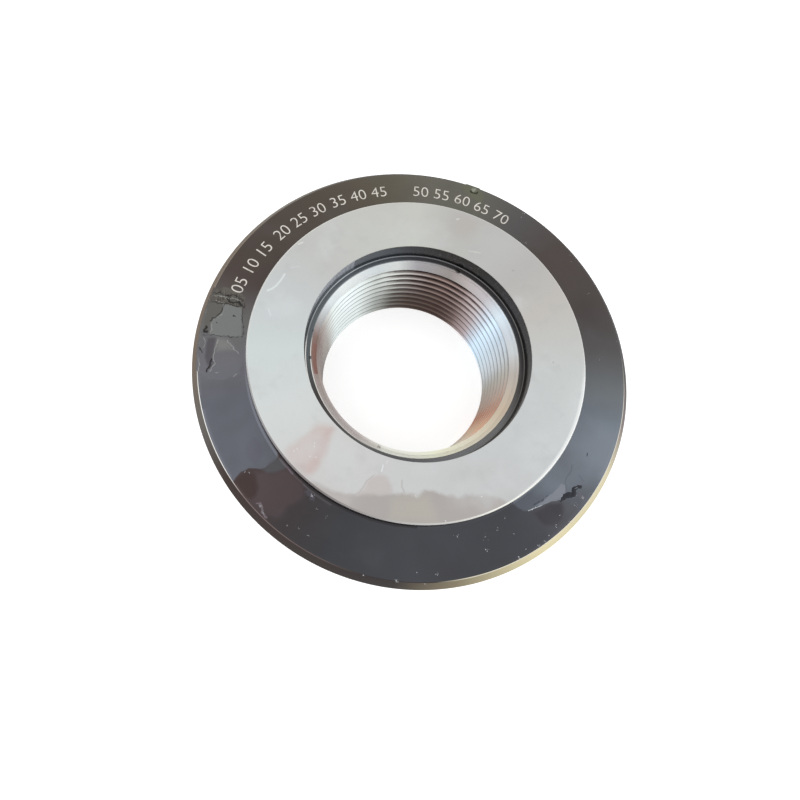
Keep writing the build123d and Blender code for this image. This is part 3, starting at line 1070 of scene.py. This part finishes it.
def laySkin(name, look):  # a thin lifted sheet whose rim dips under the steel
    noise.seed_set(look["seed"])  # noise_vector is different at every run without it
    (startAngle, endAngle), (startRadius, endRadius) = look["angles"], look["radii"]
    arc = math.radians(endAngle - startAngle) * (startRadius + endRadius) / 2
    columns, rows = int(arc / look["step"]), int((endRadius - startRadius) / look["step"])
    skin = addPiece(bpy.ops.mesh.primitive_grid_add, x_subdivisions=columns, y_subdivisions=rows, size=1)
    skin.name = name
    border = borderOf(look["outline"])
    lines = [(kind, width, lift, inMm(points)) for kind, width, lift, points in look["lines"]]
    for kind in ("crease", "shine"):
        skin.data.attributes.new(kind, "FLOAT", "POINT")
    marks = {kind: skin.data.attributes[kind].data for kind in ("crease", "shine")}
    for corner in skin.data.vertices:
        angle = startAngle + (corner.co.x + 0.5) * (endAngle - startAngle)
        radius = startRadius + (0.5 - corner.co.y) * (endRadius - startRadius)
        spot = polar(angle, radius)
        waver = noise.noise_vector(spot * sheet["raggedScale"]) * look["ragged"]
        waver += noise.noise_vector(spot * sheet["fineScale"]) * sheet["fineRagged"]
        ragged = spot.xy + waver.xy
        cover = capped(insideBy(ragged, border) / look["fade"] + 0.5)
        height = look["thickness"] + abs(noise.noise(spot / look["wrinkleSize"])) * look["wrinkle"]
        if "crumple" in look:
            band = capped(angle - look["crumple"][0]) * capped(look["crumple"][1] - angle)
            along, across = creaseNoise["stretch"]
            stretched = Vector((math.radians(angle) * radius * along, radius * across, 0))
            # the folds are painted dark as shade, and their glints are painted highlights
            fold = max(0, 1 - abs(noise.noise(stretched)) / creaseNoise["fold"]) * band
            glint = noise.noise(stretched * creaseNoise["shineScale"] + Vector((0, 0, 4)))
            glint = max(0, glint - creaseNoise["shineOver"]) * band * creaseNoise["shine"]
            marks["crease"][corner.index].value = fold * cover
            marks["shine"][corner.index].value = glint
            height += creaseNoise["lift"] * band * noise.noise(stretched * creaseNoise["liftScale"])
        for kind, width, lift, points in lines:
            near = math.exp(-(gapToLine(ragged, points) / width) ** 2)
            height += lift * near * (0.75 + sheet["uneven"] * noise.noise(spot * sheet["unevenScale"]))
            mark = marks[kind][corner.index]
            mark.value = max(mark.value, near)
        height = sheet["sunk"] + (height - sheet["sunk"]) * cover
        corner.co = polar(angle, radius * mm, markingHeight + height * mm)
    chartFilms(skin, markingHeight, look["patches"])
    openPiece(skin)
    pick("FACE", lambda face: face.calc_center_median().z < markingHeight + sheet["kept"] * mm)
    bpy.ops.mesh.delete(type="FACE")
    faceOutwards()
    closePiece()
    if sum(facet.normal.z for facet in skin.data.polygons) < 0:
        skin.data.flip_normals()
    applyModifier(skin, "SOLIDIFY", thickness=sheet["thickness"], offset=-1)
    onlyPiece(skin)
    bpy.ops.object.shade_smooth()
    return skin


oilLook = dict(plainSteel, lines=0.0, grit=0.08, mottle=0.16, bump=0.08, metal=0.85, oil=0.15)


def skinOil(name, look):
    material, tree, shader = newMaterial(name + "Oil")
    place = objectPlace(tree)
    # a skin with no tone of its own takes the marking face's tones and painted reflections
    tonesAndReflections = {-180: look["tone"]} if look["tone"] else finishes["blackedFace"]["tonesAndReflections"]
    colour = addTones(tree, useGroup(tree, aroundRing, place)["Turn"], tonesAndReflections)
    colour = addPatches(tree, place, colour, look["patches"])
    # painted highlights along the shines and painted shade in the creases
    for kind in ("shine", "crease"):
        mark = addNode(tree, "Attribute", attribute_name=kind).outputs["Fac"]
        colour = addBlend(tree, addRange(tree, mark, *sheet["marked"]), colour, toneOf(*look[kind + "Tone"]))
    finishShader(tree, shader, oilLook, place, colour)
    return material


flecks = {
    "seed": 11,
    "knots": [  # angle, radius in mm, how far they are strewn in mm, how many, the largest in mm
        (306.5, 46.6, 0.15, 3, 0.12), (300.8, 48.3, 0.15, 3, 0.12), (298.8, 48.6, 0.4, 4, 0.08),
        (292.6, 40.6, 0.4, 5, 0.09), (289.3, 42.1, 0.5, 4, 0.07), (285.0, 42.6, 0.8, 6, 0.07),
        (292.7, 44.2, 0.2, 2, 0.08), (284.2, 45.0, 0.3, 3, 0.08), (277.3, 40.8, 0.3, 4, 0.08),
        (276.2, 40.6, 0.1, 1, 0.1), (314.5, 47.9, 0.4, 9, 0.09), (311.5, 47.4, 0.8, 8, 0.05),
        (307.5, 49.1, 0.5, 4, 0.07), (303.7, 47.8, 0.4, 3, 0.07), (297.1, 48.8, 0.6, 5, 0.07),
        (293.7, 48.0, 0.3, 3, 0.08), (291.2, 48.7, 0.5, 5, 0.08), (316.8, 46.2, 0.2, 3, 0.06),
        (300.2, 41.9, 0.2, 4, 0.1), (301.4, 42.1, 0.15, 3, 0.1), (302.4, 42.3, 0.15, 2, 0.09),
        (270.2, 47.6, 0.4, 7, 0.09), (267.2, 49.3, 0.2, 3, 0.09), (265.3, 47.2, 0.1, 2, 0.09),
        (274.6, 38.8, 0.2, 2, 0.08), (281.7, 38.7, 0.2, 2, 0.08), (260.4, 49.1, 0.45, 14, 0.1),
        (252.6, 49.2, 0.08, 2, 0.15), (230.9, 47.2, 0.3, 3, 0.06), (233.8, 46.2, 0.3, 3, 0.06),
        (236.7, 46.4, 0.3, 3, 0.06), (231.6, 39.6, 0.6, 16, 0.08), (234.9, 41.3, 0.35, 5, 0.06),
        (238.3, 41.5, 0.5, 3, 0.05), (222.8, 47.9, 0.35, 8, 0.09), (224.5, 48.4, 0.35, 7, 0.07),
        (214.4, 45.4, 0.2, 4, 0.08), (213.7, 46.0, 0.2, 3, 0.07), (50.3, 48.7, 0.4, 5, 0.07),
        (50.2, 47.3, 0.1, 1, 0.1), (48.5, 43.9, 0.1, 1, 0.06), (43.6, 41.8, 0.5, 4, 0.06),
        (31.4, 48.4, 0.1, 1, 0.07), (29.6, 47.4, 0.15, 2, 0.06), (27.0, 49.0, 0.1, 1, 0.06),
        (18.1, 46.3, 0.5, 3, 0.05), (8.0, 40.7, 0.2, 3, 0.05), (356.3, 43.7, 0.3, 2, 0.06),
        (2.0, 48.8, 0.6, 3, 0.06), (80.9, 48.9, 0.3, 2, 0.06), (85.8, 48.5, 0.2, 2, 0.05),
        (60.2, 48.6, 0.2, 2, 0.06),
    ],
    "smallest": 0.03,
    "swell": 1.15,  # of the ball that is dented to a fleck
    "dent": 0.45,
    "dentScale": 1.4,
    "apart": 900,  # how far from each other in the noise the flecks are taken
    "lift": 0.15,  # share of the size
    "long": (0.8, 1.7),
    "wide": (0.6, 1.1),
    "tall": 0.45,
    "tone": (222, 224, 230), "noise": 900, "detail": 2, "between": (0.4, 0.65), "fade": 0.5,
    "rough": 0.7, "gloss": 0.0,
}


def scatterFlecks():  # dry flecks of dust caught in the oil
    draw = random.Random(flecks["seed"])
    made = []
    for angle, radius, strewn, count, largest in flecks["knots"]:
        for _ in range(count):
            size = draw.uniform(flecks["smallest"], largest) * mm
            away = draw.uniform(0, strewn) * mm
            spot = polar(angle, radius * mm, markingHeight + size * flecks["lift"])
            spot += polar(draw.uniform(0, 360), away)
            ball = size * flecks["swell"]
            fleck = addPiece(bpy.ops.mesh.primitive_ico_sphere_add, subdivisions=1, radius=ball)
            for corner in fleck.data.vertices:
                dent = noise.noise(corner.co / size * flecks["dentScale"] + spot * flecks["apart"])
                corner.co *= 1 + flecks["dent"] * dent
            fleck.scale = (draw.uniform(*flecks["long"]), draw.uniform(*flecks["wide"]), flecks["tall"])
            fleck.rotation_euler = (0, 0, draw.uniform(0, math.pi))
            fleck.location = spot
            applyPlace(fleck)
            made.append(fleck)
    return joinPieces(made, "dustFlecks")


drips = {
    "places": [  # angle, radius in mm and size
        (60.4, 24.35, 1.0), (62.2, 24.6, 0.6), (24.0, 24.5, 0.35), (181.0, 24.4, 0.6), (165.3, 24.4, 0.45),
    ],
    "radius": 0.55 * mm,
    "dent": 0.25,
    "dentScale": 1.5 / mm,
    "lift": 0.02 * mm,
    "stretch": (0.75, 1.3, 0.4),
}


def hangDrips():  # beads of black oil on the inner edge of the counterbore floor
    made = []
    for angle, radius, size in drips["places"]:
        drip = addPiece(
            bpy.ops.mesh.primitive_uv_sphere_add,
            segments=24, ring_count=14, radius=drips["radius"] * size,
        )
        for corner in drip.data.vertices:
            dent = noise.noise(corner.co * drips["dentScale"] + Vector((angle, radius, 0)))
            corner.co *= 1 + drips["dent"] * dent
        drip.scale = drips["stretch"]
        drip.rotation_euler = (0, 0, math.radians(angle))
        drip.location = polar(angle, radius * mm, floorHeight + drips["lift"])
        applyPlace(drip)
        made.append(drip)
    joinPieces(made, "oilDrips")
    bpy.ops.object.shade_smooth()
    return made[0]


def finishPiece(piece, material):
    piece.data.materials.clear()
    piece.data.materials.append(material)
    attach(piece, "root")


finishPiece(strikeNumbers(), makePale("markingWhite", scaleNumbers))
print("numbers struck")
for name, look in skins.items():
    finishPiece(laySkin(name, look), skinOil(name, look))
print("skins laid")
finishPiece(scatterFlecks(), makePale("fleckDust", flecks))
# the drips take the wall's tones and painted reflections
blackOil = dict(finishes["blackedWall"], patches=[], rough=0.15, oil=0.8)
finishPiece(hangDrips(), makeFinish("blackOil", blackOil))
print("flecks and drips placed")


studio = {
    "floorGap": 0.02 * mm,  # just under the ring, so that no two faces share a plane
    "floorSize": 3.0,
    "floorTone": (228, 228, 228),
    "floorRough": 0.9,
    "floorGloss": 0.1,
    "floorGlow": 0.65,  # seen by the camera and in the steel, and casts no light
    "worldLight": 0.85,
    "lamps": {  # power, size, place
        "keyLamp": (0.45, 0.5, (-0.42, -0.1, 0.45)),
        "fillLamp": (0.3, 0.5, (0.5, -0.12, 0.42)),
    },
}

view = {
    "place": (-20.98 * mm, -36.14 * mm, 118.21 * mm),
    "turn": (15.738, -4.116, -2.875),
    "lens": 20.337,
    "sensor": 36,
    "shiftX": 0.0451,
    "shiftY": -0.0086,
}


def seenMask(tree):  # 1 for what the camera, the steel or glass looks at, 0 for light that falls on the ring
    rays = addNode(tree, "LightPath").outputs
    seen = addMath(tree, "MAXIMUM", rays["Is Camera Ray"], rays["Is Glossy Ray"])
    return addMath(tree, "MAXIMUM", seen, rays["Is Transmission Ray"])


def layFloor():
    floor = addPiece(
        bpy.ops.mesh.primitive_plane_add,
        size=studio["floorSize"], location=(0, 0, -studio["floorGap"]),
    )
    floor.name = "paleFloor"
    material, tree, paint = newMaterial("paleFloorPaint")
    feed(tree, paint["Base Color"], toneOf(*studio["floorTone"]))
    feed(tree, paint["Roughness"], studio["floorRough"])
    feed(tree, paint["Specular IOR Level"], studio["floorGloss"])
    feed(tree, paint["Emission Color"], (1, 1, 1, 1))
    feed(tree, paint["Emission Strength"], addMath(tree, "MULTIPLY", seenMask(tree), studio["floorGlow"]))
    oneSided = addNode(tree, "MixShader", {  # clear from below, so that the underside can be looked at
        0: addNode(tree, "NewGeometry").outputs["Backfacing"],
        1: tree.nodes["Principled BSDF"].outputs[0],
        2: addNode(tree, "BsdfTransparent").outputs[0],
    })
    feed(tree, tree.nodes["Material Output"].inputs["Surface"], oneSided.outputs[0])
    floor.data.materials.append(material)


def lightWorld():
    world = bpy.data.worlds.new("paleRoom")
    bpy.context.scene.world = world
    world.use_nodes = True
    tree = world.node_tree
    background = tree.nodes["Background"].inputs
    given = {"Value": seenMask(tree), "To Min": studio["worldLight"], "To Max": 1.0}
    feed(tree, background["Color"], (1, 1, 1, 1))
    feed(tree, background["Strength"], addNode(tree, "MapRange", given).outputs[0])


def hangLamp(name, power, size, place):
    lamp = addPiece(bpy.ops.object.light_add, type="AREA", location=place)
    lamp.name = name
    lamp.data.energy = power
    lamp.data.size = size
    lamp.rotation_euler = (-Vector(place)).to_track_quat("-Z", "Y").to_euler()


def setCamera():
    turn = [math.radians(angle) for angle in view["turn"]]
    camera = addPiece(bpy.ops.object.camera_add, location=view["place"], rotation=turn)
    camera.data.sensor_width = view["sensor"]
    camera.data.lens = view["lens"]
    camera.data.shift_x = view["shiftX"]
    camera.data.shift_y = view["shiftY"]
    camera.data.clip_start = mm
    bpy.context.scene.camera = camera


layFloor()
lightWorld()
for name, lamp in studio["lamps"].items():
    hangLamp(name, *lamp)
setCamera()
bpy.context.scene.view_settings.view_transform = "Standard"
print("studio set")
